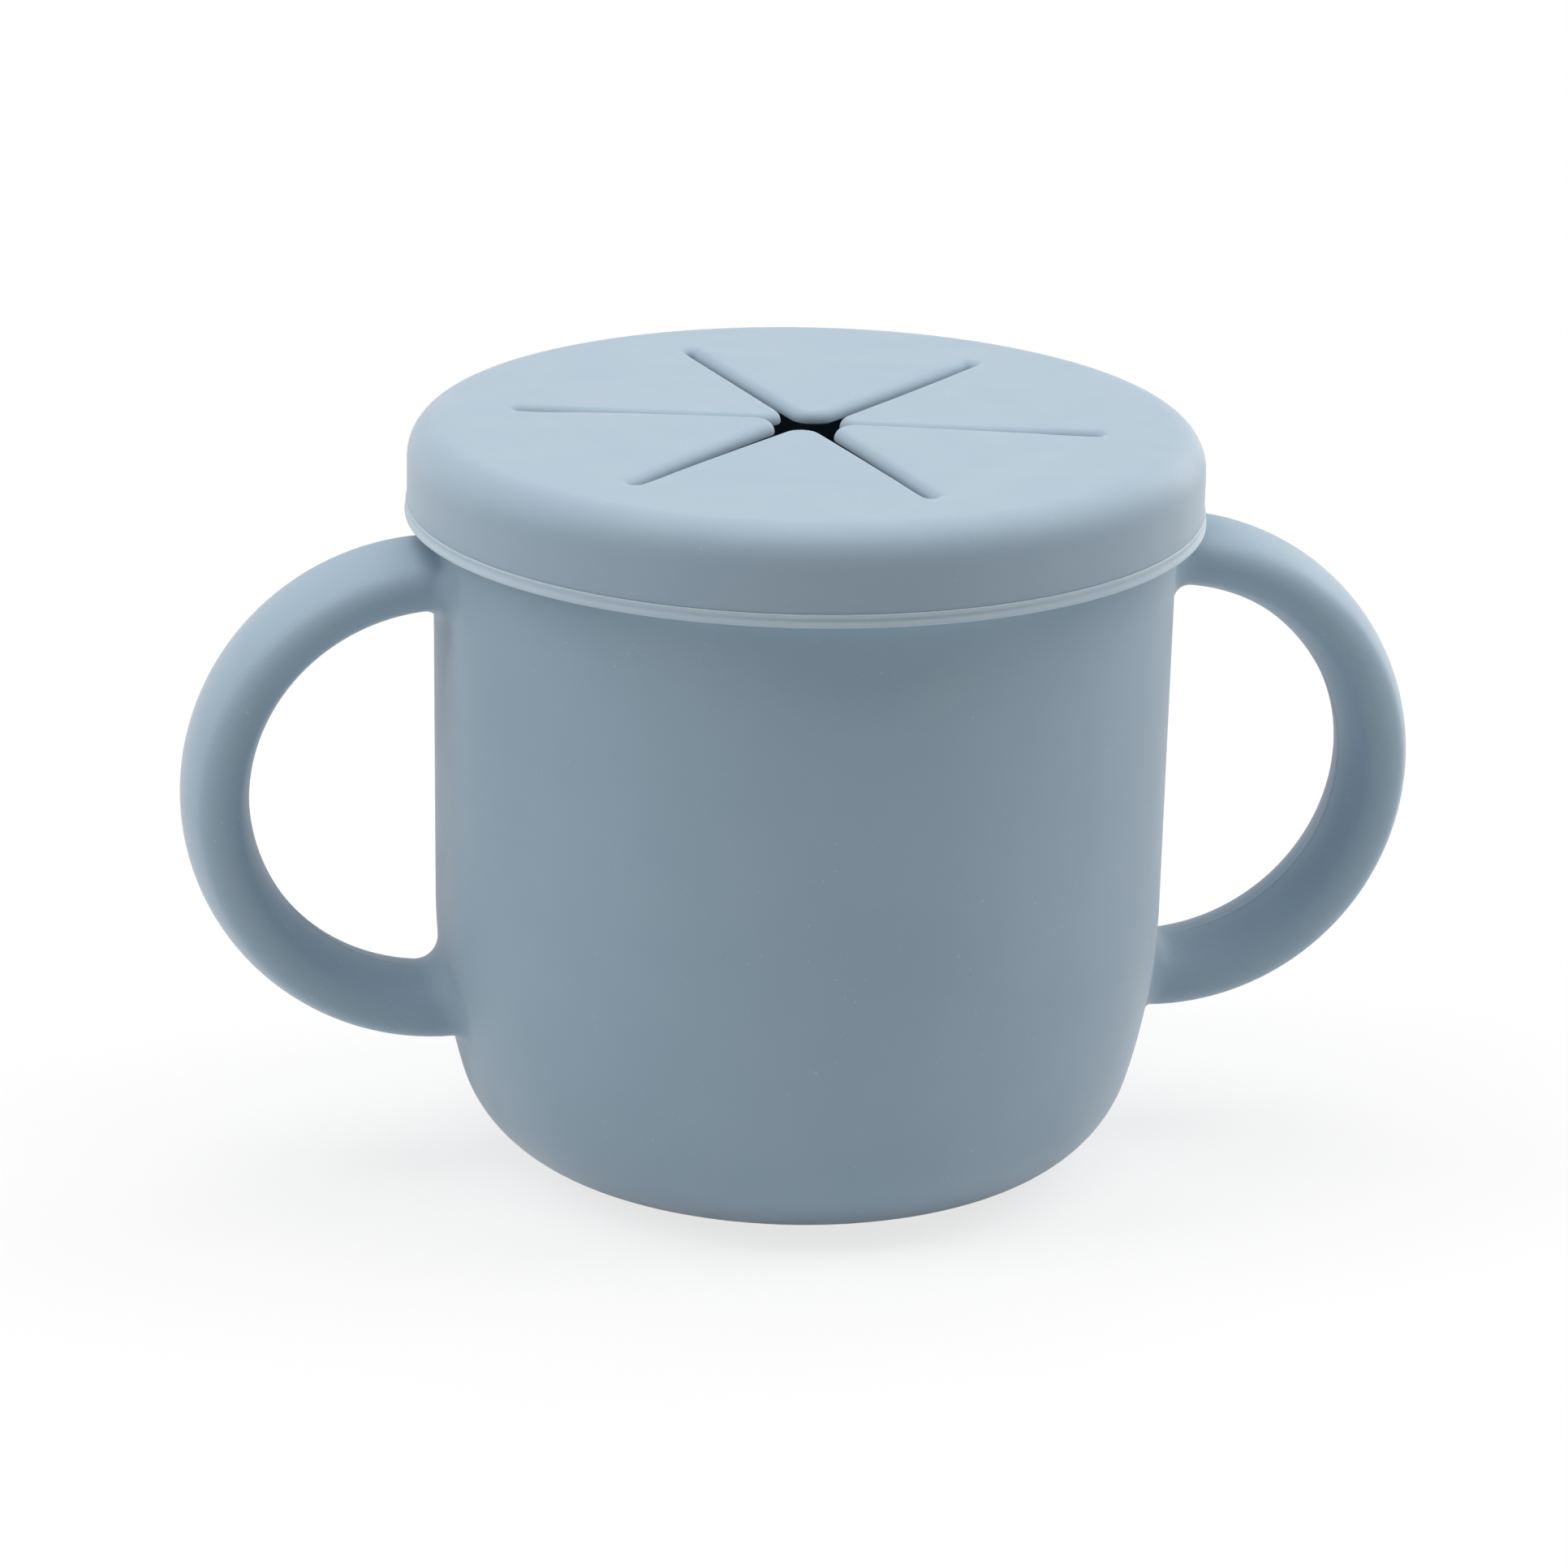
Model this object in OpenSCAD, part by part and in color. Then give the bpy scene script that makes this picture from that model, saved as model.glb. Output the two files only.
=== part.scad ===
// Toddler snack cup: a soft two-handled cup with a press-on lid.
// The lid is cut into six flaps that let a small hand in and keep the snacks from falling out.
// Frame: millimetres, +Z up, origin in the middle of the flat foot, handles along X.

/* [Cup] */
// Height from the foot to the flat top of the lid's ring
total_h = 84.5; // [82:0.5:92]
// Outside radius of the cup just under the lid
cup_r = 41.1; // [40.5:0.1:44]
// How far the wall leans in for each millimetre down
wall_lean = 0.011; // [0:0.001:0.02]
// Wall thickness of the cup
cup_wall = 2.4; // [2:0.1:3]
// Height at which the wall turns into the rounded bottom
bottom_h = 31; // [28:0.5:35]
// Radius of the tighter bend next to the foot
heel_r = 14.2; // [11:0.1:14.2]
// Radius of the flat foot
foot_r = 24; // [20:0.5:24]

/* [Rim] */
// How far the collar under the lid stands out from the wall
collar_step = 0.8; // [0.6:0.1:1]
// Rounding of the rim's outer upper edge, and of the corner inside the lid that it fits
rim_round = 1.4; // [1:0.1:1.6]
// Rounding of the collar's lower edge
collar_round = 0.6; // [0.3:0.1:0.6]

/* [Lid] */
// Height of the lid from its lip to its top
lid_h = 10.45; // [9.5:0.05:11.5]
// Thickness of the lid's top
lid_top = 2.2; // [2:0.1:2.4]
// Thickness of the lid's wall
lid_wall = 1.8; // [1.5:0.1:2.2]
// Gap between the lid's wall and the collar
lid_gap = 0.3; // [0.2:0.05:0.4]
// Rounding of the lid's top edge
lid_round = 4.25; // [3.5:0.05:5]
// Height of the thin lip round the lid's lower edge
lip_h = 1.45; // [1.2:0.05:1.6]
// How far the lip's two ridges stand out from the lid's wall
lip_flare = 0.25; // [0.1:0.05:0.4]
// Gap between the lip and the cup's wall
lip_gap = 0.2; // [0.15:0.05:0.3]

/* [Flaps] */
// Number of flaps, one between each two slits
flap_count = 6; // [6:1:6]
// Distance from the lid's middle to the end of a slit
slit_r = 31.8; // [30:0.1:34]
// Width of a slit at its outer end
slit_w = 0.4; // [0.4:0.1:0.8]
// Width of a slit next to the flaps' points
tip_gap = 1.3; // [0.8:0.1:1.6]
// Rounding of a flap's point
tip_r = 2.9; // [2.2:0.1:3.4]
// Rounding over each slit's upper edges
slit_round = 1.3; // [1:0.1:1.7]
// How far the flaps' points rise over the lid's ring, which makes the lid slightly domed
flap_rise = 0.8; // [0:0.1:1]
// Width of the strip at a flap's root that bends
bend_w = 4; // [4:0.5:6]
// Turn of the first slit from the line of the handles
slit_turn = -16.1; // [-30:0.1:30]

/* [Handles] */
// Distance from the cup's axis to the middle of a handle's ring
ring_x = 40.85; // [39:0.05:42]
// Gap between a handle's top and the lid above it
handle_gap = 1.75; // [1.5:0.25:4]
// Radius of the ring along the middle of the handle
ring_r = 24.8; // [20:0.1:25]
// Thickness of a handle across its ring
handle_t = 7.5; // [6:0.1:8]
// Width of a handle along its ring's axis
handle_w = 15; // [12:0.5:16]
// Rounding of a handle's side edges
handle_edge_r = 2.7; // [2:0.1:2.9]

/* [Hidden] */
$fn = 96;
silicone = [0.66, 0.74, 0.81];
silicone_shade = [0.58, 0.67, 0.74];
silicone_light = [0.74, 0.81, 0.86];
over = 1;
root_l = 5;
// A slit's rounding is drawn this much high, so that it meets the lid's top at a slight angle.
slit_crown = 0.02;

lip_z = total_h - lid_h;
rim_z = total_h - lid_top;
collar_r = cup_r + collar_step;
lid_inner_r = collar_r + lid_gap;
lid_r = lid_inner_r + lid_wall;
lip_inner_r = cup_r + lip_gap;
lip_top_z = lip_z + lip_h;
collar_z = lip_top_z + lip_gap;

// The bottom is two bends that run smoothly into each other: the tight heel next to
// the foot, and a long one that meets the wall at bottom_h.
bottom_r = cup_r - wall_lean * (lip_z - bottom_h);
bend_turn = 2 * atan((bottom_r - foot_r - heel_r) / (bottom_h - heel_r));
long_r = heel_r + (bottom_h - heel_r) / sin(bend_turn);

ring_z = lip_z - handle_gap - handle_t / 2 - ring_r;

// Each flap lies along +X in its own frame and is turned to its place.
flap_turn = 360 / flap_count;
half_turn = flap_turn / 2;
root_x = slit_r * cos(half_turn);
tip_x = (tip_gap / 2 + tip_r) / sin(half_turn);

FLAPS = [for (i = [1 : flap_count]) str("flap_", i)];
FLAP_HINGES = [for (i = [1 : flap_count]) str("flap_hinge_", i)];

// A point on the cup's long and tight bends, pulled in by inset
function knee(inset) =
    [foot_r + (heel_r - inset) * cos(bend_turn), heel_r - (heel_r - inset) * sin(bend_turn)];

// Half of the cup's outline, as far as height top and pulled in by inset
module cup_outline(inset, top) {
    corner = knee(inset);
    reach = [foot_r + 2 * heel_r * cos(bend_turn), heel_r - 2 * heel_r * sin(bend_turn)];
    top_r = cup_r + wall_lean * (top - lip_z);
    polygon([[0, inset], [foot_r, inset], [foot_r, heel_r], corner, [0, corner[1]]]);
    intersection() {
        translate([foot_r, heel_r])
            circle(heel_r - inset);
        polygon([[foot_r, heel_r], [foot_r, -over], [reach[0], -over], reach]);
    }
    intersection() {
        translate([bottom_r - long_r, bottom_h])
            circle(long_r - inset, $fn = 360);
        polygon([[0, corner[1]], corner, reach, [reach[0], bottom_h], [0, bottom_h]]);
    }
    polygon([[0, bottom_h], [bottom_r - inset, bottom_h], [top_r - inset, top], [0, top]]);
}

// The cup without its hollow, as far as the lip
module cup_outside() {
    rotate_extrude()
        cup_outline(0, lip_z);
}

// Half of the cup's section, with the collar round the rim that the lid grips
module cup_section() {
    difference() {
        union() {
            cup_outline(0, lip_z);
            translate([0, lip_z])
                square([cup_r, collar_z - lip_z + collar_round]);
            difference() {
                translate([0, collar_z])
                    square([collar_r, rim_z - collar_z]);
                edge_cutter([collar_r, collar_z], [-1, 1], collar_round);
                edge_cutter([collar_r, rim_z], [-1, -1], rim_round);
            }
        }
        cup_outline(cup_wall, rim_z + over);
    }
}

// What rounding a square corner takes away; inward points from the corner into the solid
module edge_cutter(corner, inward, r) {
    difference() {
        translate([corner[0] + (inward[0] < 0 ? -r : -over), corner[1] + (inward[1] < 0 ? -r : -over)])
            square(r + over);
        translate([corner[0] + inward[0] * r, corner[1] + inward[1] * r])
            circle(r);
    }
}

module cup() {
    color(silicone)
        rotate_extrude()
            cup_section();
}

// A handle's section: an oval of four arcs, handle_t by handle_w
module handle_section() {
    edge_y = handle_w / 2 - handle_edge_r;
    flat = handle_t / 2 - handle_edge_r;
    face_shift = (edge_y * edge_y - flat * flat) / (2 * flat);
    face_r = face_shift + handle_t / 2;
    for (s = [-1, 1])
        translate([0, s * edge_y])
            circle(handle_edge_r);
    intersection() {
        translate([-face_shift, 0])
            circle(face_r, $fn = 240);
        translate([face_shift, 0])
            circle(face_r, $fn = 240);
        square([2 * handle_t, 2 * edge_y * face_r / (face_r - handle_edge_r)], center = true);
    }
}

// The handle on the +X side: half a ring, with straight ends that run into the wall
module right_handle() {
    color(silicone)
        difference() {
            translate([ring_x, 0, ring_z]) {
                rotate([90, 0, 0])
                    rotate([0, 0, -90])
                        rotate_extrude(angle = 180)
                            translate([ring_r, 0])
                                handle_section();
                for (s = [-1, 1])
                    translate([0, 0, s * ring_r])
                        rotate([0, -90, 0])
                            linear_extrude(root_l)
                                handle_section();
            }
            cup_outside();
        }
}

module left_handle() {
    mirror([1, 0, 0])
        right_handle();
}

// Half of the lid's section: its top, rounded edge and wall
module lid_section() {
    difference() {
        translate([0, lip_top_z])
            square([lid_r, total_h - lip_top_z]);
        edge_cutter([lid_r, total_h], [-1, -1], lid_round);
        translate([0, lip_top_z - over])
            square([lid_inner_r, rim_z - rim_round - lip_top_z + over]);
        translate([0, lip_top_z - over])
            square([lid_inner_r - rim_round, rim_z - lip_top_z + over]);
        translate([lid_inner_r - rim_round, rim_z - rim_round])
            circle(rim_round);
    }
}

// Half of the section that a slit takes from the lid's top: a cut with a rounded upper edge
module half_slit_section() {
    translate([0, rim_z - over])
        square([slit_w / 2, lid_top + 2 * over]);
    intersection() {
        edge_cutter([slit_w / 2, total_h + slit_crown], [1, -1], slit_round);
        translate([0, rim_z])
            square([slit_w / 2 + slit_round, lid_top + over]);
    }
}

// What one slit takes from the lid's ring: its round end, and the cut that runs in to it
module slit_cutter() {
    translate([slit_r, 0, 0])
        rotate_extrude()
            half_slit_section();
    translate([tip_x, 0, 0])
        rotate([90, 0, 90])
            linear_extrude(slit_r - tip_x) {
                half_slit_section();
                mirror([1, 0])
                    half_slit_section();
            }
}

module lid() {
    color(silicone_light)
        difference() {
            rotate_extrude()
                lid_section();
            rotate([0, 0, slit_turn])
                translate([0, 0, rim_z - over])
                    linear_extrude(lid_top + 2 * over)
                        polygon([for (i = [0 : flap_count - 1])
                            slit_r * [cos(i * flap_turn), sin(i * flap_turn)]]);
            for (i = [0 : flap_count - 1])
                rotate([0, 0, slit_turn + i * flap_turn])
                    slit_cutter();
        }
}

// The thin lip round the lid's lower edge, with a ridge along its top and its foot.
// It reaches in under the collar and holds the lid on.
module lid_lip() {
    ridge_r = lip_h / 4;
    color(silicone_light)
        rotate_extrude() {
            translate([lip_inner_r, lip_z])
                square([lid_r + lip_flare - ridge_r - lip_inner_r, lip_h]);
            for (z = [lip_z + ridge_r, lip_top_z - ridge_r])
                translate([lid_r + lip_flare - ridge_r, z])
                    circle(ridge_r);
        }
}

// The part of a flap's sheet between x = from and x = to. The whole sheet is a wedge that rises
// to a rounded point, and its upper edge is rounded over along both slits and round the point.
module flap_sheet(from, to) {
    edge_z = total_h - slit_round;
    rod_y = slit_w / 2 + slit_round;
    intersection() {
        hull() {
            translate([tip_x, 0, rim_z + flap_rise])
                cylinder(r = tip_r, h = edge_z - rim_z, $fn = 64);
            translate([tip_x, 0, edge_z + flap_rise])
                rotate_extrude($fn = 64)
                    translate([tip_r - slit_round, 0])
                        circle(slit_round, $fn = 32);
            for (s = [-1, 1])
                rotate([0, 0, s * half_turn]) {
                    translate([slit_r, s > 0 ? -rod_y : slit_w / 2, rim_z])
                        cube([over, slit_round, edge_z - rim_z]);
                    translate([slit_r, -s * rod_y, edge_z])
                        rotate([0, 90, 0])
                            cylinder(r = slit_round, h = over, $fn = 32);
                }
        }
        translate([from, -slit_r, rim_z])
            cube([to - from, 2 * slit_r, lid_top + flap_rise]);
    }
}

// One of the flaps, as far as the strip that bends
module flap(i) {
    color(silicone)
        rotate([0, 0, slit_turn + (i - 0.5) * flap_turn])
            flap_sheet(0, root_x - bend_w);
}

// The strip that bends, between a flap and the ring of the lid
module flap_hinge(i) {
    color(silicone_shade)
        rotate([0, 0, slit_turn + (i - 0.5) * flap_turn])
            flap_sheet(root_x - bend_w, root_x);
}

cup();
left_handle();
right_handle();
lid();
lid_lip();
for (i = [1 : flap_count]) {
    flap(i);
    flap_hinge(i);
}
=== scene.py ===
import math

import bpy
import numpy as np
from mathutils import Matrix, Vector


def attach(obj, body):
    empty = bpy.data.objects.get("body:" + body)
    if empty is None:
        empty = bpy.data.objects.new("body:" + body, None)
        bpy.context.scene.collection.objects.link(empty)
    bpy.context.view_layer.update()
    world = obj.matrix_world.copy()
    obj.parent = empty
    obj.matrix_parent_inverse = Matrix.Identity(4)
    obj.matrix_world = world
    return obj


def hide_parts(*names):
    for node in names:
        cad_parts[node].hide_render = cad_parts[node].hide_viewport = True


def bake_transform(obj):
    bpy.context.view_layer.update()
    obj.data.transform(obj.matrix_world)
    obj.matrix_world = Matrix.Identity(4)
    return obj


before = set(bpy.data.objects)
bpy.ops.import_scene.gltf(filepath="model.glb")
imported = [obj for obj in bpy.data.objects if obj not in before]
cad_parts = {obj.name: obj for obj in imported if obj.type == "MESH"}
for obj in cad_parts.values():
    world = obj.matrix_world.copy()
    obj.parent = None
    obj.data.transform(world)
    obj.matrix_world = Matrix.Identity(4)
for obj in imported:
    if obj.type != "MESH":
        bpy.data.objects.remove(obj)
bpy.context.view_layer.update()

# Everything below is measured in millimetres in the shared frame, and MM makes metres of it.
MM = 0.001

# The cup, as in the CAD source
LIP_Z = 74.05
RIM_Z = 82.3
CUP_R = 41.1
WALL_LEAN = 0.011
CUP_WALL = 2.4
BOTTOM_H = 31.0
HEEL_R = 14.2
FOOT_R = 24.0
COLLAR_Z = 75.7
COLLAR_R = 41.9
COLLAR_ROUND = 0.6
RIM_ROUND = 1.4
RIM_INNER_ROUND = 0.5
BOTTOM_R = CUP_R - WALL_LEAN * (LIP_Z - BOTTOM_H)
BEND_TURN = 2 * math.atan((BOTTOM_R - FOOT_R - HEEL_R) / (BOTTOM_H - HEEL_R))
LONG_R = HEEL_R + (BOTTOM_H - HEEL_R) / math.sin(BEND_TURN)
KNEE_Z = HEEL_R - HEEL_R * math.sin(BEND_TURN)

# The handles. A root's fillets are given towards the loop, at its sides and on its outer side. The
# seam's ridge rises to its full height over a twelfth of the handle's length.
RING_X = 40.85
RING_Z = 43.75
RING_R = 24.8
HANDLE_T = 7.5
HANDLE_W = 15.0
HANDLE_EDGE_R = 2.7
SEAM_RIDGE = 0.07
SEAM_RISE = 12
SEAM_HALF_W = 0.26
SEAM_SIDE_W = 0.8
UPPER_FILLETS = (2.1, 2.6, 1.0)
LOWER_FILLETS = (3.0, 2.6, 0.6)

# The lid
TOTAL_H = 84.5
LID_R = 44.0
LID_ROUND = 4.25
LID_INNER_R = 42.2
LIP_TOP_Z = 75.5
LIP_INNER_R = 41.3
LIP_R = 44.25
LIP_EDGE_ROUND = 0.12
LIP_TOP_ROUND = 0.22
LIP_TOP_SETBACK = 0.1
LIP_BEVEL = 0.2
# The groove round the lip: heights over the lip's foot, and depths
LIP_GROOVE = ((0.26, 0.0), (0.42, 0.06), (0.58, 0.15), (0.74, 0.23), (0.9, 0.25), (1.04, 0.22),
              (1.18, 0.14))
WALL_FOOT_ROUND = 0.08
FLAP_COUNT = 6
HALF_TURN = math.radians(30)
SLIT_TURN = math.radians(-16.1)
SLIT_R = 31.8
SLIT_HALF = 0.45
SLIT_ROUND = 1.2
UNDER_ROUND = 0.1
TIP_R = 2.6
TIP_HALF_GAP = 0.8
TIP_X = (TIP_HALF_GAP + TIP_R) / math.sin(HALF_TURN)
ROOT_X = SLIT_R * math.cos(HALF_TURN)
BEND_W = 4.0
# A flap gets thinner past its root, and the flaps' points have set at different heights. Each is
# reached over a width from the root.
THINNING = 0.85
THINNING_W = 8
SET_W = 5
FLAP_SET = (-0.35, -0.3, 0.0, 0.6, 0.35, 0.25)

# How finely the wall and the handles are divided, and the part of the wall that each root takes
AROUND = 192
ROOT_COLUMNS = 10
ROOT_ROWS = 12
ROOT_RINGS = 4
FOOT_RINGS = (0, 8, 16, 21)
FLOOR_RINGS = (18, 10, 0)
FILLET_STEPS = 9
HANDLE_STEPS = 66
UPPER_ROOT = (60.5, 75.0)
LOWER_ROOT = (12.4, 27.4)

# The parts of the lid's ring and of the flaps that follow the slits' edges, and how finely
SLIT_BORDER = 3.2
SLIT_END_STEPS = 33
BEND_STEPS = 13
STRAIGHT_STEPS = 15
POINT_STEPS = 17
FLAP_ACROSS = 12


def put_down():
    """Nothing selected, and no mesh open for editing."""
    if bpy.context.object and bpy.context.object.mode != "OBJECT":
        bpy.ops.object.mode_set(mode="OBJECT")
    bpy.ops.object.select_all(action="DESELECT")


def lay_sheet(places):
    """A grid primitive whose corners are pulled to places: rows of points in mm."""
    places = np.asarray(places, float)
    rows, columns = places.shape[:2]
    put_down()
    bpy.ops.mesh.primitive_grid_add(x_subdivisions=columns - 1, y_subdivisions=rows - 1, size=1)
    sheet = bpy.context.object
    sheet.data.vertices.foreach_set("co", (places * MM).ravel())
    sheet.data.update()
    return sheet


def cut_windows(sheet, columns, windows):
    """Takes windows of faces out of a sheet: each is its first and last row and column."""
    put_down()
    bpy.context.view_layer.objects.active = sheet
    sheet.select_set(True)
    bpy.ops.object.mode_set(mode="EDIT")
    bpy.ops.mesh.select_mode(type="FACE")
    bpy.ops.mesh.select_all(action="DESELECT")
    bpy.ops.object.mode_set(mode="OBJECT")
    for face in sheet.data.polygons:
        row, column = divmod(face.index, columns - 1)
        face.select = any(r0 <= row < r1 and c0 <= column < c1 for r0, r1, c0, c1 in windows)
    bpy.ops.object.mode_set(mode="EDIT")
    bpy.ops.mesh.delete(type="FACE")
    bpy.ops.object.mode_set(mode="OBJECT")


def weld(name, sheets, close=False, sharp=40):
    """Joins sheets that meet edge to edge into one closed piece with smooth shading."""
    put_down()
    for sheet in sheets:
        sheet.select_set(True)
    piece = bpy.context.view_layer.objects.active = sheets[0]
    if len(sheets) > 1:
        bpy.ops.object.join()
    bpy.ops.object.mode_set(mode="EDIT")
    bpy.ops.mesh.select_all(action="SELECT")
    bpy.ops.mesh.remove_doubles(threshold=0.002 * MM)
    if close:
        bpy.ops.mesh.select_all(action="DESELECT")
        bpy.ops.mesh.select_mode(type="EDGE")
        bpy.ops.mesh.select_non_manifold(extend=False)
        bpy.ops.mesh.fill_holes(sides=0)
        bpy.ops.mesh.select_all(action="SELECT")
    bpy.ops.mesh.normals_make_consistent(inside=False)
    bpy.ops.object.mode_set(mode="OBJECT")
    bpy.ops.object.shade_smooth_by_angle(angle=math.radians(sharp))
    piece.name = piece.data.name = name
    return piece


def turned(places, angle):
    """The same points turned about the cup's axis."""
    c, s = math.cos(angle), math.sin(angle)
    x, y, z = places[..., 0], places[..., 1], places[..., 2]
    return np.stack([x * c - y * s, x * s + y * c, z], axis=-1)


def lathe(outline):
    """Rows of points: the outline, a list of (radius, height), carried once round the axis."""
    angle = np.linspace(0, 2 * math.pi, AROUND + 1)
    angle[-1] = 0
    r, z = np.array(outline, float).T
    return np.stack([np.outer(r, np.cos(angle)), np.outer(r, np.sin(angle)),
                     np.outer(z, np.ones(AROUND + 1))], axis=-1)


def arc(centre, radius, start, end, steps):
    """Points (radius, height) along an arc of the outline; angles in degrees."""
    return [(centre[0] + radius * math.cos(a), centre[1] + radius * math.sin(a))
            for a in map(math.radians, np.linspace(start, end, steps))]


# ---- The cup with its two handles, one moulding ----

def wall_r(z, inset=0.0):
    """Radius of the cup's wall at height z, or of its inside when inset is the wall's thickness."""
    if z >= BOTTOM_H:
        return CUP_R - WALL_LEAN * (LIP_Z - z) - inset
    long_r = LONG_R - inset
    if z >= HEEL_R - (HEEL_R - inset) * math.sin(BEND_TURN):
        return BOTTOM_R - LONG_R + math.sqrt(long_r ** 2 - (BOTTOM_H - z) ** 2)
    return FOOT_R + math.sqrt(max((HEEL_R - inset) ** 2 - (HEEL_R - z) ** 2, 0))


def on_wall(angle, z):
    """A point of the wall's outside."""
    r = wall_r(z)
    return np.array([r * math.cos(angle), r * math.sin(angle), z])


def handle_section(share):
    """Point and outward normal of a handle's oval section, share of the way round from the middle
    of its inner face. The first number points away from the ring's middle, the second along Y."""
    edge_y = HANDLE_W / 2 - HANDLE_EDGE_R
    flat = HANDLE_T / 2 - HANDLE_EDGE_R
    face_shift = (edge_y ** 2 - flat ** 2) / (2 * flat)
    face_r = face_shift + HANDLE_T / 2
    face_turn = math.atan2(edge_y, face_shift)
    edge_turn = math.pi - 2 * face_turn
    around = 4 * face_turn * face_r + 2 * edge_turn * HANDLE_EDGE_R
    side = 1 if share <= 0.5 else -1
    way = min(share, 1 - share) * around
    if way <= face_turn * face_r:
        a = way / face_r
        normal = np.array([-math.cos(a), math.sin(a)])
        place = np.array([face_shift, 0]) + face_r * normal
    elif way <= face_turn * face_r + edge_turn * HANDLE_EDGE_R:
        a = face_turn + (way - face_turn * face_r) / HANDLE_EDGE_R
        normal = np.array([-math.cos(a), math.sin(a)])
        place = np.array([0, edge_y]) + HANDLE_EDGE_R * normal
    else:
        a = math.pi - (around / 2 - way) / face_r
        normal = np.array([-math.cos(a), math.sin(a)])
        place = np.array([-face_shift, 0]) + face_r * normal
    return place * [1, side], normal * [1, side], around


def window_edge(window, side):
    """Angle and height of each corner round the window that a handle's root takes from the wall,
    from the middle of its inner side. side is 1 for the upper root and -1 for the lower."""
    near, far = (window[0], window[1]) if side > 0 else (window[1], window[0])
    heights = np.linspace(near, far, ROOT_ROWS + 1)
    c = ROOT_COLUMNS
    steps = [(k, near) for k in range(0, c)] + [(c, z) for z in heights[:-1]]
    steps += [(k, far) for k in range(c, -c, -1)] + [(-c, z) for z in heights[::-1][:-1]]
    steps += [(k, near) for k in range(-c, 0)]
    return [(k * 2 * math.pi / AROUND, z) for k, z in steps]


def root_fillet(normal, inner, beside, outer):
    """Size of the fillet at a handle's root in the direction of the section's normal."""
    share = normal[0] ** 2
    return beside + share * ((inner if normal[0] < 0 else outer) - beside)


def handle_root(window, side, sections, fillets):
    """Rows of points from the window's edge over the wall and the root's fillet to the handle,
    and the angle at which each of the last row's points lies on the handle's ring."""
    rows = [[] for _ in range(ROOT_RINGS + FILLET_STEPS)]
    ends = []
    pull = 0.5523  # how far a curve's handles reach, for a quarter circle
    for (angle, z), (place, normal, _) in zip(window_edge(window, side), sections):
        size = root_fillet(normal, *fillets)
        offset, y = place
        root_z = RING_Z + side * (RING_R + offset)
        corner = np.array([math.sqrt(wall_r(root_z) ** 2 - y ** 2), y, root_z])
        foot_z = root_z + side * size * normal[0]
        foot_y = y + size * normal[1]
        foot_angle = math.asin(foot_y / wall_r(foot_z))
        foot = on_wall(foot_angle, foot_z)
        lean = math.asin((corner[0] + size - RING_X) / (RING_R + offset))
        end = ring_place(math.pi / 2 - lean, offset, y, side)
        for i, t in enumerate(np.linspace(0, 1, ROOT_RINGS, endpoint=False)):
            rows[i].append(on_wall(angle + t * (foot_angle - angle), z + t * (foot_z - z)))
        for i, t in enumerate(np.linspace(0, 1, FILLET_STEPS)):
            points = [foot, foot + pull * (corner - foot), end + pull * (corner - end), end]
            shares = [(1 - t) ** 3, 3 * t * (1 - t) ** 2, 3 * t * t * (1 - t), t ** 3]
            rows[ROOT_RINGS + i].append(sum(s * p for s, p in zip(shares, points)))
        ends.append(math.pi / 2 - lean)
    return rows, ends


def ring_place(angle, offset, y, side=1):
    """A point of a handle: angle above the horizontal, out from the ring's middle, and along Y."""
    reach = RING_R + offset
    return np.array([RING_X + reach * math.cos(angle), y, RING_Z + side * reach * math.sin(angle)])


def handle_rows():
    """One handle with both of its roots, as rows of points from the upper window to the lower.
    The mould's parting line is a fine ridge along the middle of its inner face."""
    columns = 2 * (2 * ROOT_COLUMNS + ROOT_ROWS)
    shares = np.arange(columns) / columns
    around = handle_section(0)[2]
    for step, width in ((1, SEAM_HALF_W), (2, SEAM_SIDE_W)):
        shares[step], shares[-step] = width / around, 1 - width / around
    sections = [handle_section(s) for s in shares]
    upper, top_ends = handle_root(UPPER_ROOT, 1, sections, UPPER_FILLETS)
    lower, low_ends = handle_root(LOWER_ROOT, -1, sections, LOWER_FILLETS)
    rows = upper
    for t in np.linspace(0, 1, HANDLE_STEPS)[1:-1]:
        ridge = SEAM_RIDGE * min(1, SEAM_RISE * min(t, 1 - t))
        row = []
        for k, ((place, normal, _), top, low) in enumerate(zip(sections, top_ends, low_ends)):
            offset, y = place + normal * (ridge if k == 0 else 0)
            row.append(ring_place(top - t * (top + low), offset, y))
        rows.append(row)
    rows += lower[::-1]
    rows = np.array(rows)
    return np.concatenate([rows, rows[:, :1]], axis=1)


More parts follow.
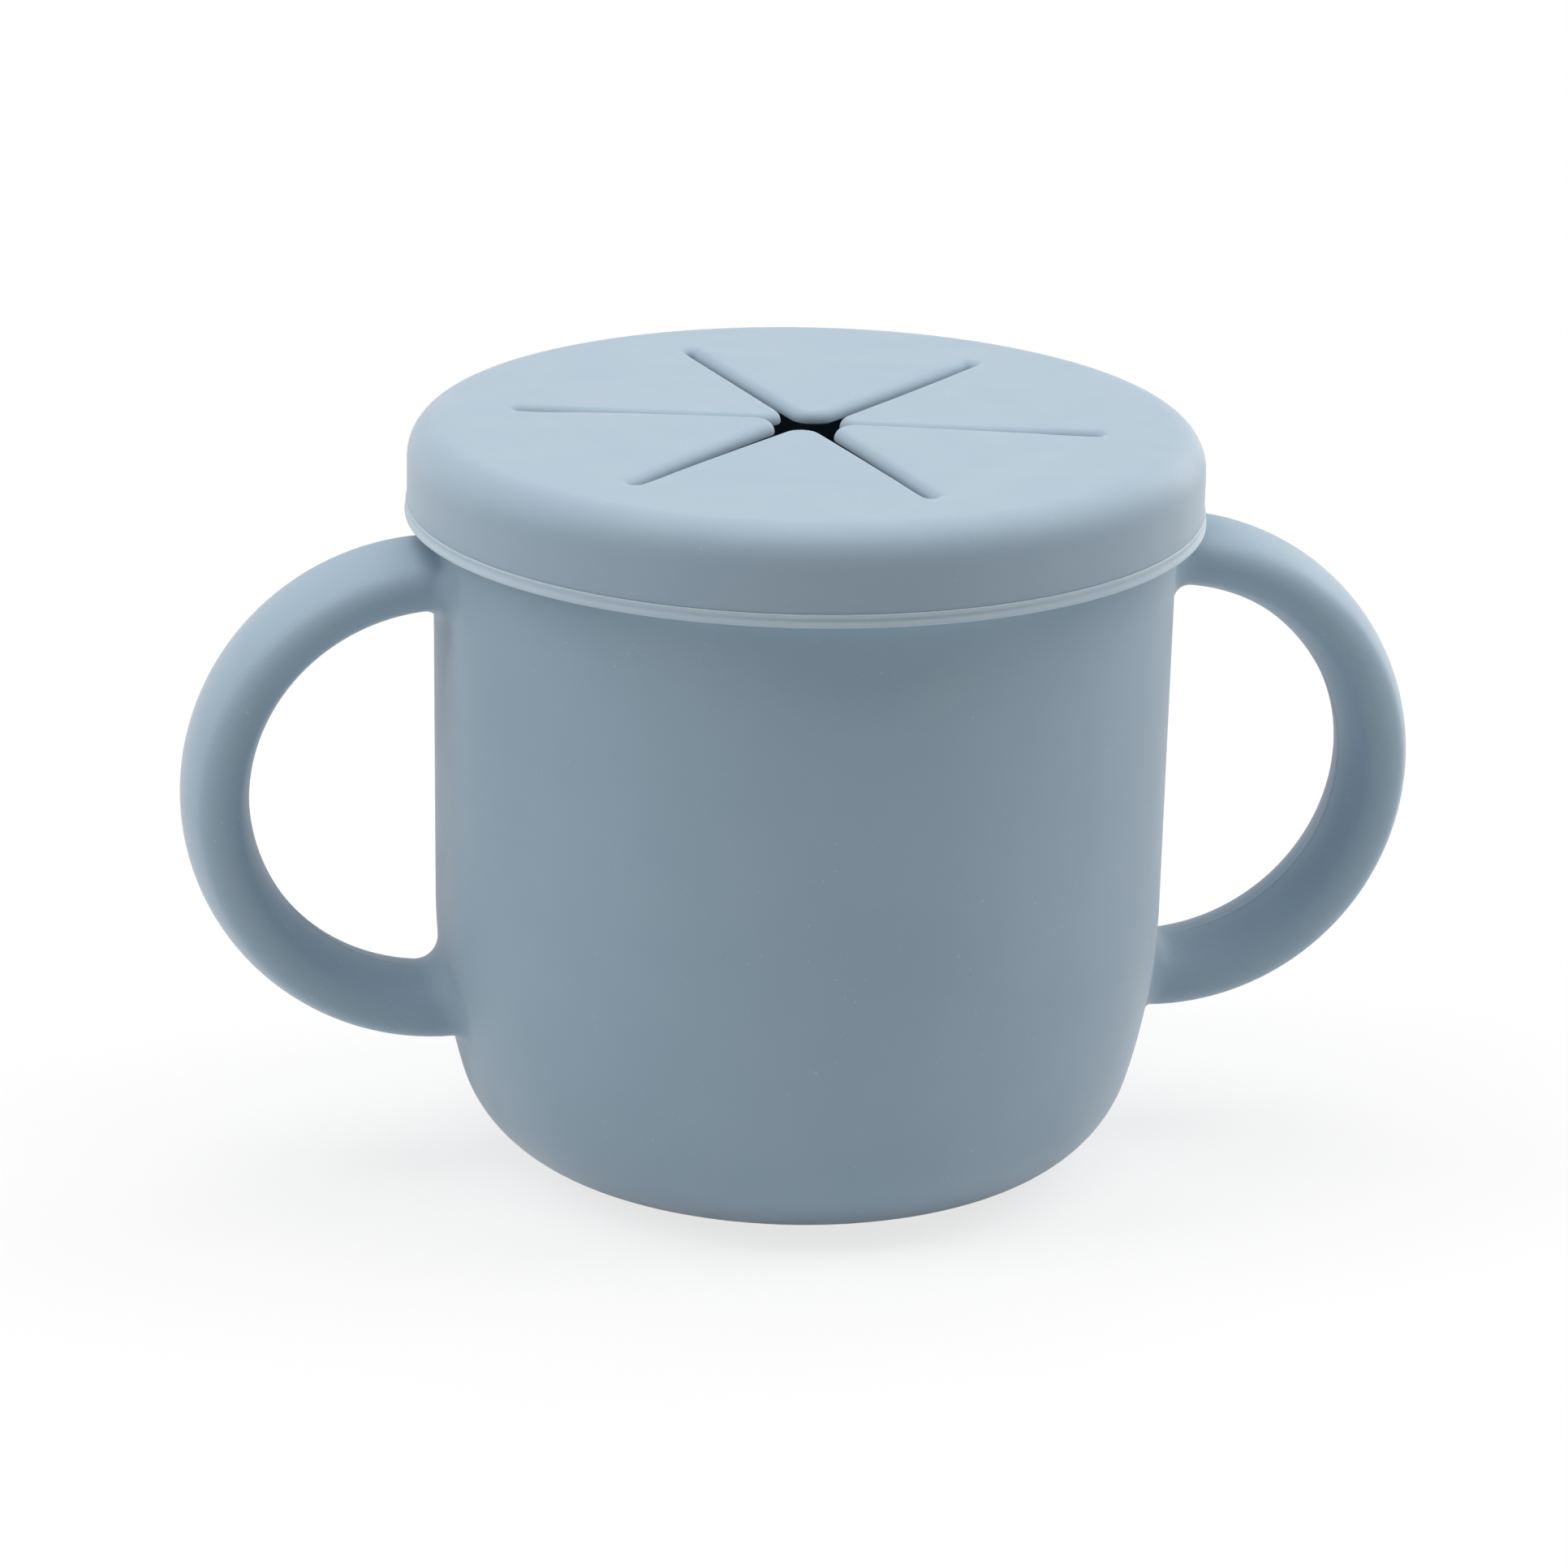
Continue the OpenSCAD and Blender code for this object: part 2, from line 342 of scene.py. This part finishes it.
def make_cup():
    """The cup's outside, collar, rim and inside in one sheet, with both handles grown out of it."""
    outline = [(r, 0) for r in FOOT_RINGS]
    outline += arc((FOOT_R, HEEL_R), HEEL_R, -90, -math.degrees(BEND_TURN), 22)[:-1]
    low = list(np.arange(KNEE_Z, LOWER_ROOT[0] - 0.5, 1.1))
    window_low = list(np.linspace(*LOWER_ROOT, ROOT_ROWS + 1))
    middle = list(np.linspace(LOWER_ROOT[1], UPPER_ROOT[0], 19)[1:-1])
    window_high = list(np.linspace(*UPPER_ROOT, ROOT_ROWS + 1))
    first_low = len(outline) + len(low)
    first_high = first_low + len(window_low + middle)
    outline += [(wall_r(z), z) for z in low + window_low + middle + window_high + [COLLAR_Z]]
    outline += arc((COLLAR_R - COLLAR_ROUND, COLLAR_Z + COLLAR_ROUND), COLLAR_ROUND, -90, 0, 5)
    outline += arc((COLLAR_R - RIM_ROUND, RIM_Z - RIM_ROUND), RIM_ROUND, 0, 90, 8)
    inner_r = wall_r(RIM_Z) - CUP_WALL
    outline += arc((inner_r + RIM_INNER_ROUND, RIM_Z - RIM_INNER_ROUND), RIM_INNER_ROUND, 90, 180, 5)
    inner_knee = HEEL_R - (HEEL_R - CUP_WALL) * math.sin(BEND_TURN)
    outline += [(wall_r(z, CUP_WALL), z) for z in np.linspace(RIM_Z - 2, inner_knee, 36)]
    outline += arc((FOOT_R, HEEL_R), HEEL_R - CUP_WALL, -math.degrees(BEND_TURN), -90, 16)[1:]
    outline += [(r, CUP_WALL) for r in FLOOR_RINGS]
    # The sheet's join is a quarter turn from the handles, so that it crosses no window.
    wall = lay_sheet(turned(lathe(outline), -math.pi / 2))
    cut_windows(wall, AROUND + 1, [
        (first, first + ROOT_ROWS, column - ROOT_COLUMNS, column + ROOT_COLUMNS)
        for first in (first_low, first_high) for column in (AROUND // 4, 3 * AROUND // 4)])
    right = handle_rows()
    return weld("cup_and_handles", [wall, lay_sheet(right), lay_sheet(right * [-1, 1, 1])])


# ---- The lid: its ring, its six flaps and its lip ----

def at_height(points, z):
    """Points of a plan, with a height."""
    return np.column_stack([points, np.full(len(points), z)])


def slit_rows():
    """Distance from a slit's edge, and height, of each row over that edge from below to above."""
    under = [(UNDER_ROUND * (1 - math.cos(a)), RIM_Z + UNDER_ROUND * (1 - math.sin(a)))
             for a in np.radians([90, 45, 0])]
    upper = [(SLIT_ROUND * (1 - math.cos(a)), TOTAL_H - SLIT_ROUND * (1 - math.sin(a)))
             for a in np.radians(np.arange(0, 91, 11.25))]
    return under + upper


def slit_end_place(turn, away):
    """A point beside the slit along +X: in the direction turn from its end, and away from its edge."""
    inward = math.pi - abs(turn)
    reach = (SLIT_HALF + away) / (math.sin(inward) if inward < math.pi / 2 else 1)
    return SLIT_R + reach * math.cos(turn), reach * math.sin(turn)


def lid_ring_sheets():
    """A sixth of the lid's ring, from the middle of one flap to the middle of the next, with the
    slit's end in its middle: the slit's edge, the strip under it, and all the rest."""
    turns = np.radians(np.linspace(-120, 120, SLIT_END_STEPS))
    edge = slit_rows() + [(2.3, TOTAL_H), (SLIT_BORDER, TOTAL_H)]
    edge_sheet = [[(*slit_end_place(t, d), z) for t in turns] for d, z in edge]
    under_sheet = [[(*slit_end_place(t, d), RIM_Z) for t in turns]
                   for d in (UNDER_ROUND, 1.7, SLIT_BORDER)]
    first = (SLIT_HALF + SLIT_BORDER) / math.cos(HALF_TURN)
    chord = [(SLIT_R - reach / 2, -reach * math.cos(HALF_TURN))
             for reach in np.linspace(SLIT_R / 2, first, 9)[:-1]]
    inner = np.array(chord + [slit_end_place(t, SLIT_BORDER) for t in turns]
                     + [(x, -y) for x, y in chord[::-1]])
    angles = np.linspace(-HALF_TURN, HALF_TURN, len(inner))
    circle = np.stack([np.cos(angles), np.sin(angles)], axis=-1)

    top_r = LID_R - LID_ROUND
    under_r = LID_INNER_R - RIM_ROUND
    rows = [at_height(inner + t * (circle * top_r - inner), TOTAL_H) for t in np.linspace(0, 1, 9)[:-1]]
    wall = arc((top_r, TOTAL_H - LID_ROUND), LID_ROUND, 90, 0, 13)
    wall += [(LID_R, z) for z in (79, 77.5, 76.4)]
    foot_z = LIP_TOP_Z + WALL_FOOT_ROUND
    wall += arc((LID_R - WALL_FOOT_ROUND, foot_z), WALL_FOOT_ROUND, 0, -90, 4)
    wall += arc((LID_INNER_R + WALL_FOOT_ROUND, foot_z), WALL_FOOT_ROUND, 270, 180, 4)
    wall += [(LID_INNER_R, 78)] + arc((under_r, RIM_Z - RIM_ROUND), RIM_ROUND, 0, 90, 7)
    rows += [at_height(circle * r, z) for r, z in wall]
    rows += [at_height(circle * under_r + t * (inner - circle * under_r), RIM_Z)
             for t in np.linspace(0, 1, 6)[1:]]
    return [np.array(edge_sheet), np.array(under_sheet), np.array(rows)]


def make_lid_ring():
    """The lid's ring and wall, from six equal parts."""
    sheets = []
    for sixth in range(FLAP_COUNT):
        for places in lid_ring_sheets():
            sheets.append(lay_sheet(turned(places, SLIT_TURN + sixth * 2 * HALF_TURN)))
    return weld("lid_ring", sheets, close=True)


def flap_outline(away):
    """Points round a flap that lies along +X, away from its edge: root, rounded point, root.
    The straight edges run from the slits' ends to the round of the point, so a slit widens inwards."""
    edge_x = SLIT_R * math.cos(HALF_TURN) + SLIT_HALF * math.sin(HALF_TURN)
    edge_y = SLIT_R * math.sin(HALF_TURN) - SLIT_HALF * math.cos(HALF_TURN)
    reach = math.hypot(edge_x - TIP_X, edge_y)
    turn = math.atan2(edge_y, edge_x - TIP_X) - math.asin(TIP_R / reach)
    point = TIP_R - away
    bend = np.linspace(ROOT_X, ROOT_X - BEND_W, BEND_STEPS)
    straight = np.linspace(ROOT_X - BEND_W, TIP_X - point * math.sin(turn), STRAIGHT_STEPS)[1:]
    side = [(x, edge_y + (x - edge_x) * math.tan(turn) - away / math.cos(turn))
            for x in (*bend, *straight)]
    quarter = math.pi / 2 + turn
    tip = [(TIP_X + point * math.cos(a), point * math.sin(a))
           for a in np.linspace(quarter, 2 * math.pi - quarter, POINT_STEPS)]
    return np.array(side + tip[1:-1] + [(x, -y) for x, y in side[::-1]])


def flap_face(away, z):
    """Rows of points from side to side of a flap, at one height, from its root to its point."""
    outline = flap_outline(away)
    half = len(outline) // 2
    share = np.linspace(0, 1, FLAP_ACROSS + 1)[:, None]
    rows = [outline[k] + share * (outline[-1 - k] - outline[k]) for k in range(half + 1)]
    return np.array([at_height(row, z) for row in rows])


def ease(x, width):
    """0 at a flap's root and 1 from width past it, with a smooth start and end."""
    way = np.clip((ROOT_X - x) / width, 0, 1)
    return way * way * (3 - 2 * way)


def make_flap():
    """One flap, lying along +X: its rounded edge, its top and its underside."""
    edge = np.array([at_height(flap_outline(d), z) for d, z in slit_rows()])
    sheets = [edge, flap_face(SLIT_ROUND, TOTAL_H), flap_face(UNDER_ROUND, RIM_Z)]
    for places in sheets:
        below = places[..., 2] < TOTAL_H - SLIT_ROUND - 0.01
        places[..., 2] += below * THINNING * ease(places[..., 0], THINNING_W)
    return weld("flap_panel", [lay_sheet(places) for places in sheets], close=True)


def copy_of_flap(flap, number):
    """A copy of the flap with its own mesh, set at its own height and turned to its place."""
    put_down()
    flap.select_set(True)
    bpy.context.view_layer.objects.active = flap
    bpy.ops.object.duplicate(linked=False)
    copy = bpy.context.object
    copy.name = copy.data.name = f"flap_panel_{number}"
    for corner in copy.data.vertices:
        x = corner.co.x / MM
        corner.co.z += FLAP_SET[number - 1] * MM * (1 - (x / ROOT_X) ** 2) * ease(x, SET_W)
    turn = SLIT_TURN + (number - 0.5) * 2 * HALF_TURN
    copy.data.transform(Matrix.Rotation(turn, 4, "Z"))
    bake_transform(copy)
    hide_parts(f"flap_{number}", f"flap_hinge_{number}")
    return copy


def make_lip():
    """The lip under the lid's wall: a thin band that flares down to its foot, with a shallow
    groove between its two ridges."""
    top_r = LIP_R - LIP_TOP_SETBACK - LIP_TOP_ROUND
    outline = [(LIP_INNER_R, LIP_TOP_Z - LIP_BEVEL), (LIP_INNER_R, LIP_Z + LIP_BEVEL)]
    outline += [(LIP_INNER_R + LIP_BEVEL, LIP_Z)]
    outline += arc((LIP_R - LIP_EDGE_ROUND, LIP_Z + LIP_EDGE_ROUND), LIP_EDGE_ROUND, -90, 0, 5)
    outline += [(LIP_R - depth, LIP_Z + height) for height, depth in LIP_GROOVE]
    outline += arc((top_r, LIP_TOP_Z - LIP_TOP_ROUND), LIP_TOP_ROUND, 10, 90, 6)
    outline += [(LIP_INNER_R + LIP_BEVEL, LIP_TOP_Z), (LIP_INNER_R, LIP_TOP_Z - LIP_BEVEL)]
    return weld("lid_grip_lip", [lay_sheet(lathe(outline))], sharp=50)


# ---- Finishes ----

def new_group(name, inputs, outputs):
    """A shader node group with these named sockets, and its two end nodes."""
    group = bpy.data.node_groups.new(name, "ShaderNodeTree")
    for label, kind, value in inputs:
        socket = group.interface.new_socket(label, in_out="INPUT", socket_type=kind)
        if value is not None:
            socket.default_value = value
    for label, kind in outputs:
        group.interface.new_socket(label, in_out="OUTPUT", socket_type=kind)
    return group, group.nodes.new("NodeGroupInput"), group.nodes.new("NodeGroupOutput")


def wire(tree, *links):
    """Joins pairs of sockets."""
    for start, end in links:
        tree.links.new(start, end)


def noise(tree, vector, scale, detail, roughness):
    """Soft random blotches, scale to the metre."""
    node = tree.nodes.new("ShaderNodeTexNoise")
    node.inputs["Scale"].default_value = scale
    node.inputs["Detail"].default_value = detail
    node.inputs["Roughness"].default_value = roughness
    tree.links.new(vector, node.inputs["Vector"])
    return node.outputs["Fac"]


def spread(tree, value, low, high, to_low=0.0, to_high=1.0):
    """Stretches a value from one range to another."""
    node = tree.nodes.new("ShaderNodeMapRange")
    ends = {"From Min": low, "From Max": high, "To Min": to_low, "To Max": to_high}
    for label, number in ends.items():
        if isinstance(number, (int, float)):
            node.inputs[label].default_value = number
        else:
            tree.links.new(number, node.inputs[label])
    tree.links.new(value, node.inputs["Value"])
    return node.outputs["Result"]


def blend_colours(tree, share, first, second):
    """The first colour where share is 0 and the second where it is 1."""
    node = tree.nodes.new("ShaderNodeMix")
    node.data_type = "RGBA"
    tree.links.new(share, node.inputs["Factor"])
    tree.links.new(first, node.inputs["A"])
    tree.links.new(second, node.inputs["B"])
    return node.outputs["Result"]


def calculate(tree, operation, first, second):
    """A sum, product or greater one of two values or sockets."""
    node = tree.nodes.new("ShaderNodeMath")
    node.operation = operation
    for socket, value in zip(node.inputs, (first, second)):
        if isinstance(value, (int, float)):
            socket.default_value = value
        else:
            tree.links.new(value, socket)
    return node.outputs[0]


def moulding_grain():
    """The fine satin grain that the mould leaves, and the broad waviness of a soft moulding."""
    group, ins, outs = new_group(
        "moulding_grain", [("Place", "NodeSocketVector", None), ("Waviness", "NodeSocketFloat", 1.0)],
        [("Height", "NodeSocketFloat")])
    fine = noise(group, ins.outputs["Place"], 5200, 3, 0.6)
    pits = noise(group, ins.outputs["Place"], 1700, 2, 0.5)
    broad = noise(group, ins.outputs["Place"], 55, 1, 0.4)
    both = calculate(group, "ADD", calculate(group, "MULTIPLY", fine, 0.35),
                     calculate(group, "MULTIPLY", pits, 0.65))
    wave = calculate(group, "MULTIPLY", broad, 6.0)
    wave = calculate(group, "MULTIPLY", wave, ins.outputs["Waviness"])
    wire(group, (calculate(group, "ADD", both, wave), outs.inputs["Height"]))
    return group


def pigment_cloud():
    """Pigment that lies a little thicker in some places, with dust specks that cling to silicone."""
    group, ins, outs = new_group(
        "pigment_cloud",
        [("Place", "NodeSocketVector", None), ("Colour", "NodeSocketColor", None),
         ("Deep Colour", "NodeSocketColor", None), ("Dust Colour", "NodeSocketColor", None),
         ("Dust", "NodeSocketFloat", 0.3), ("Smooth", "NodeSocketFloat", 0.5),
         ("Rough", "NodeSocketFloat", 0.6)],
        [("Colour", "NodeSocketColor"), ("Roughness", "NodeSocketFloat")])
    cloud = spread(group, noise(group, ins.outputs["Place"], 45, 4, 0.55), 0.3, 0.7)
    flecks = noise(group, ins.outputs["Place"], 2600, 1, 0.3)
    sparse = noise(group, ins.outputs["Place"], 160, 2, 0.5)
    dust = calculate(group, "MULTIPLY", spread(group, flecks, 0.74, 0.8),
                     spread(group, sparse, 0.5, 0.62))
    dust = calculate(group, "MULTIPLY", dust, ins.outputs["Dust"])
    body = blend_colours(group, cloud, ins.outputs["Colour"], ins.outputs["Deep Colour"])
    handled = spread(group, noise(group, ins.outputs["Place"], 90, 3, 0.6), 0.35, 0.65,
                     ins.outputs["Smooth"], ins.outputs["Rough"])
    wire(group, (blend_colours(group, dust, body, ins.outputs["Dust Colour"]), outs.inputs["Colour"]),
         (handled, outs.inputs["Roughness"]))
    return group


def silicone(name, colour, deep, waviness):
    """Matte coloured silicone: soft sheen, satin grain, faint clouds of pigment and a little dust."""
    material = bpy.data.materials.new(name)
    material.use_nodes = True
    tree = material.node_tree
    shader = tree.nodes["Principled BSDF"]
    place = tree.nodes.new("ShaderNodeTexCoord").outputs["Object"]
    cloud = tree.nodes.new("ShaderNodeGroup")
    cloud.node_tree = PIGMENT
    for label, value in (("Colour", colour), ("Deep Colour", deep), ("Dust Colour", DUST_COLOUR)):
        cloud.inputs[label].default_value = (*value, 1)
    for label, value in (("Dust", 0.35), ("Smooth", 0.5), ("Rough", 0.6)):
        cloud.inputs[label].default_value = value
    grain = tree.nodes.new("ShaderNodeGroup")
    grain.node_tree = GRAIN
    grain.inputs["Waviness"].default_value = waviness
    bump = tree.nodes.new("ShaderNodeBump")
    bump.inputs["Strength"].default_value = 0.6
    bump.inputs["Distance"].default_value = 0.00002
    wire(tree, (place, cloud.inputs["Place"]), (place, grain.inputs["Place"]),
         (cloud.outputs["Colour"], shader.inputs["Base Color"]),
         (cloud.outputs["Roughness"], shader.inputs["Roughness"]),
         (grain.outputs["Height"], bump.inputs["Height"]),
         (bump.outputs["Normal"], shader.inputs["Normal"]))
    for label, value in (("IOR", 1.41), ("Specular IOR Level", 0.45), ("Sheen Weight", 0.45),
                         ("Sheen Roughness", 0.4)):
        shader.inputs[label].default_value = value
    return material


def srgb(*colour):
    """A colour as the eye names it, 0 to 255, in the linear values that a shader takes."""
    return tuple(v / 255 / 12.92 if v <= 10 else ((v / 255 + 0.055) / 1.055) ** 2.4 for v in colour)


GRAIN = moulding_grain()
PIGMENT = pigment_cloud()
DUST_COLOUR = srgb(212, 220, 226)

cup_finish = silicone("cup_silicone_finish", srgb(150, 172, 188), srgb(147, 169, 186), 1.0)
# The lid's base is a touch paler and greyer than the cup's. That is painted sheen: it stands in for the
# whitish grazing reflection on the lid's top.
lid_silicone_and_painted_sheen = silicone("lid_silicone_with_painted_sheen", srgb(153, 173, 188), srgb(151, 171, 187), 0.5)
# The lip's base is much paler than the cup's. That is painted light: it stands in for the light that
# the thin, upturned band catches and lets through.
lip_painted_light = silicone("lip_silicone_painted_light", srgb(182, 199, 210), srgb(179, 196, 208), 0.4)


def finish_with(piece, material):
    """Gives a piece its one material."""
    piece.data.materials.clear()
    piece.data.materials.append(material)


cup = make_cup()
finish_with(cup, cup_finish)
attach(cup, "cup_body")
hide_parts("cup", "left_handle", "right_handle")

ring = make_lid_ring()
finish_with(ring, lid_silicone_and_painted_sheen)
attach(ring, "lid_body")
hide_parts("lid")

lip = make_lip()
finish_with(lip, lip_painted_light)
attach(lip, "lid_body")
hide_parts("lid_lip")

pattern = make_flap()
finish_with(pattern, lid_silicone_and_painted_sheen)
for number in range(1, FLAP_COUNT + 1):
    copy_of_flap(pattern, number)
put_down()
pattern.select_set(True)
bpy.ops.object.delete()


# ---- Floor, light and camera ----

# The floor as the camera sees it: the share of plain white near the cup, which grows to all of it
# between two distances, in metres from the cup's middle
FLOOR_WHITE = 0.75
FLOOR_NEAR = 0.1
FLOOR_FAR = 0.4
FLOOR_COLOUR = (0.92, 0.92, 0.92, 1)
WORLD_LEVEL = 0.05

# Softboxes: name, place and size in metres, watts, colour. All face the cup's middle.
MIDDLE = Vector((0, 0, 0.045))
WHITE = (1, 1, 1)
WARM_WHITE = (1, 0.985, 0.965)
SOFTBOXES = (
    ("overhead_softbox", (0, 0.05, 0.75), (0.8, 0.8), 4.5, WARM_WHITE),
    ("left_high_softbox", (-0.6, -0.05, 0.6), (0.4, 0.6), 2.5, WHITE),
    ("right_high_softbox", (0.6, -0.05, 0.6), (0.4, 0.6), 2.4, WHITE),
    ("left_back_softbox", (-0.6, 0.5, 0.3), (0.3, 0.6), 0.95, WHITE),
    ("right_back_softbox", (0.6, 0.5, 0.3), (0.3, 0.6), 1.8, WHITE),
)

# The camera, in millimetres and degrees
CAMERA_PLACE = (-151.15, -780.0, 303.0)
CAMERA_TARGET = (-1.73, 0.33, 42.33)
CAMERA_LEAN = 1.156
CAMERA_LENS = 171.72


def make_floor():
    """A pale floor. The camera sees it partly as plain white, and further off wholly so, which
    keeps the cup's shadow soft and the edge of the floor out of sight."""
    put_down()
    bpy.ops.mesh.primitive_plane_add(size=8)
    floor = bpy.context.object
    floor.name = "floor"
    material = bpy.data.materials.new("pale_floor")
    material.use_nodes = True
    tree = material.node_tree
    tree.nodes.remove(tree.nodes["Principled BSDF"])
    diffuse = tree.nodes.new("ShaderNodeBsdfDiffuse")
    diffuse.inputs["Color"].default_value = FLOOR_COLOUR
    white = tree.nodes.new("ShaderNodeEmission")
    rays = tree.nodes.new("ShaderNodeLightPath")
    place = tree.nodes.new("ShaderNodeTexCoord").outputs["Object"]
    distance = tree.nodes.new("ShaderNodeVectorMath")
    distance.operation = "LENGTH"
    mix = tree.nodes.new("ShaderNodeMixShader")
    seen = calculate(tree, "MAXIMUM", rays.outputs["Is Camera Ray"], rays.outputs["Is Glossy Ray"])
    wire(tree, (place, distance.inputs[0]))
    far = spread(tree, distance.outputs["Value"], FLOOR_NEAR, FLOOR_FAR, FLOOR_WHITE, 1.0)
    wire(tree, (calculate(tree, "MULTIPLY", seen, far), mix.inputs["Fac"]),
         (diffuse.outputs[0], mix.inputs[1]), (white.outputs[0], mix.inputs[2]),
         (mix.outputs[0], tree.nodes["Material Output"].inputs["Surface"]))
    finish_with(floor, material)


def make_world():
    """White surroundings: full white for the camera, a plain level for the light on the cup."""
    world = bpy.data.worlds.new("white_studio")
    bpy.context.scene.world = world
    world.use_nodes = True
    tree = world.node_tree
    rays = tree.nodes.new("ShaderNodeLightPath")
    seen = calculate(tree, "MAXIMUM", rays.outputs["Is Camera Ray"], rays.outputs["Is Glossy Ray"])
    seen = calculate(tree, "MAXIMUM", seen, rays.outputs["Is Transmission Ray"])
    background = tree.nodes["Background"]
    background.inputs["Color"].default_value = (1, 1, 1, 1)
    wire(tree, (spread(tree, seen, 0, 1, WORLD_LEVEL, 1.0), background.inputs["Strength"]))


def hang_softbox(name, place, size, watts, colour):
    """A rectangular lamp that faces the middle of the cup."""
    put_down()
    bpy.ops.object.light_add(type="AREA", location=place)
    lamp = bpy.context.object
    lamp.name = name
    lamp.data.shape = "RECTANGLE"
    lamp.data.size, lamp.data.size_y = size
    lamp.data.energy = watts
    lamp.data.color = colour
    lamp.rotation_euler = (MIDDLE - Vector(place)).to_track_quat("-Z", "Y").to_euler()


def make_camera():
    """The photograph's viewpoint: 18 degrees above the horizon, turned 11 degrees from square to
    the handles, with a slight lean to one side."""
    place = Vector(CAMERA_PLACE) * MM
    ahead = (Vector(CAMERA_TARGET) * MM - place).normalized()
    right = ahead.cross(Vector((0, 0, 1))).normalized()
    up = right.cross(ahead)
    lean = math.radians(CAMERA_LEAN)
    side = right * math.cos(lean) + up * math.sin(lean)
    top = up * math.cos(lean) - right * math.sin(lean)
    put_down()
    bpy.ops.object.camera_add()
    camera = bpy.context.object
    turn = Matrix((side, top, -ahead)).transposed().to_4x4()
    camera.matrix_world = Matrix.Translation(place) @ turn
    camera.data.lens = CAMERA_LENS
    camera.data.sensor_width = 36
    camera.data.clip_start, camera.data.clip_end = 0.01, 20
    bpy.context.scene.camera = camera


make_floor()
make_world()
for softbox in SOFTBOXES:
    hang_softbox(*softbox)
make_camera()
bpy.context.scene.view_settings.view_transform = "Standard"
